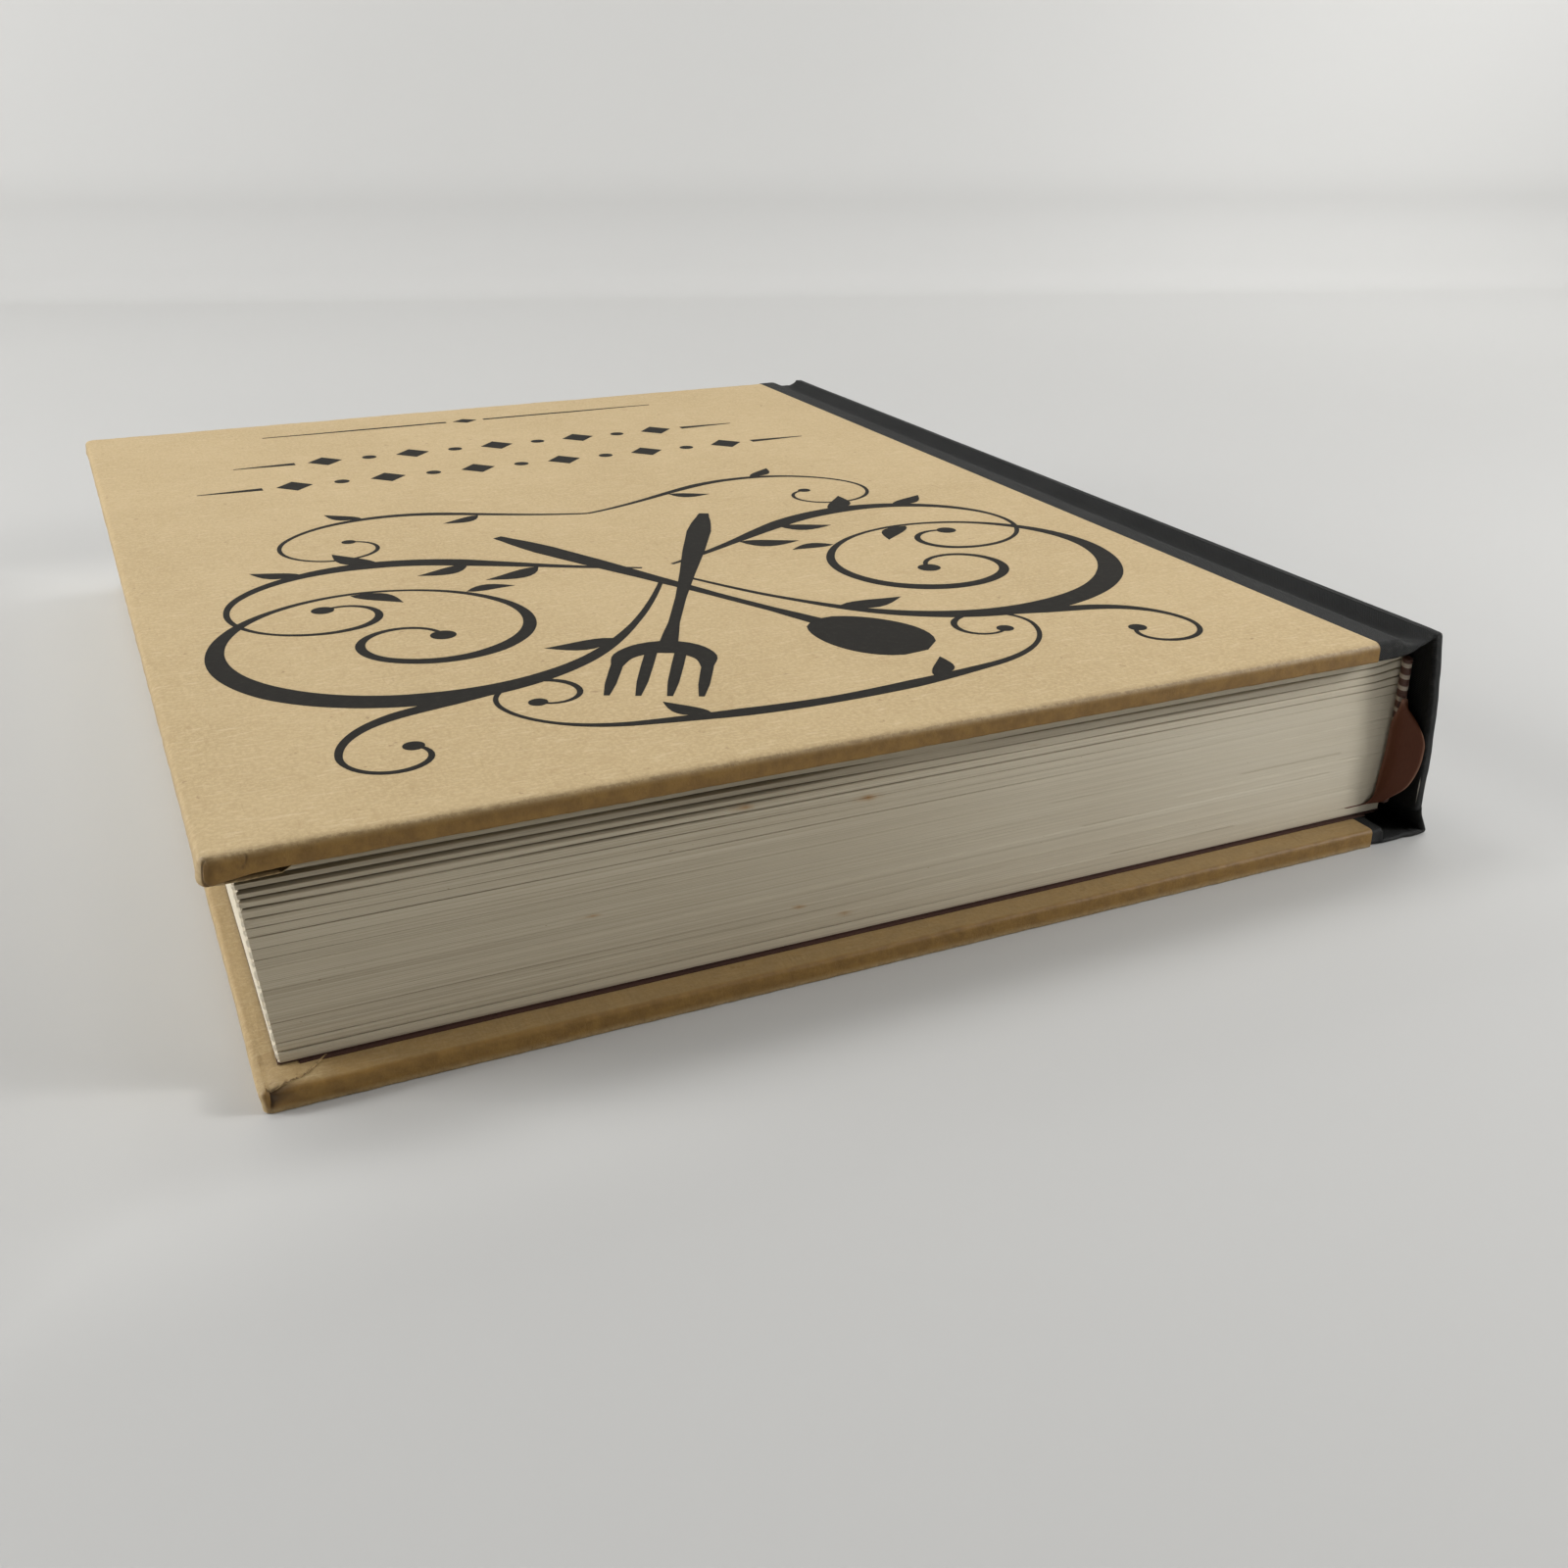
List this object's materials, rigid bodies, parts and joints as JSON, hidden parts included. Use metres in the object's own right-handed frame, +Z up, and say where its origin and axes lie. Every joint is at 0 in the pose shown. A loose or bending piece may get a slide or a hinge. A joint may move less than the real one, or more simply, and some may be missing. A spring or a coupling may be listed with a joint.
{
  "type": "hardcover cookbook",
  "caption": "Thick quarter-bound hardcover cookbook: kraft paper covers on boards, black cloth spine, sewn pages, striped headbands and a ribbon marker; both covers open.",
  "frame": {"origin": "centre of the footprint, on the surface that the rear cover lies on", "axes": "+X from the spine to the fore-edge, +Y from the tail to the head, +Z up through the front cover"},
  "size_m": [0.204, 0.254, 0.0386],
  "materials": {
    "pages": "uncoated",
    "endpaper": "uncoated",
    "lining_paper": "uncoated",
    "band_thread": "woven",
    "ribbon": "satin",
    "grey_board": "raw",
    "book_cloth": "woven",
    "kraft_paper": "uncoated"
  },
  "bodies": {
    "root": {"text_block": "pages", "front_flyleaf": "endpaper", "rear_flyleaf": "endpaper", "spine_lining": "lining_paper", "head_band": "band_thread", "tail_band": "band_thread", "ribbon_marker": "ribbon", "spine_board": "grey_board", "spine_cloth": "book_cloth", "front_joint_cloth": "book_cloth", "rear_joint_cloth": "book_cloth"},
    "front_cover": {"front_board": "grey_board", "front_board_cloth": "book_cloth", "front_cover_paper": "kraft_paper", "front_pastedown": "endpaper"},
    "rear_cover": {"rear_board": "grey_board", "rear_board_cloth": "book_cloth", "rear_cover_paper": "kraft_paper", "rear_pastedown": "endpaper"}
  },
  "joints": [
    {"name": "front_hinge", "type": "hinge", "parent": "root", "child": "front_cover", "pos_m": [-0.0936, 0, 0.0352], "axis": [0, -1, 0], "range_deg": [0, 180]},
    {"name": "rear_hinge", "type": "hinge", "parent": "root", "child": "rear_cover", "pos_m": [-0.0981, 0, 0.0034], "axis": [0, 1, 0], "range_deg": [0, 180]}
  ]
}
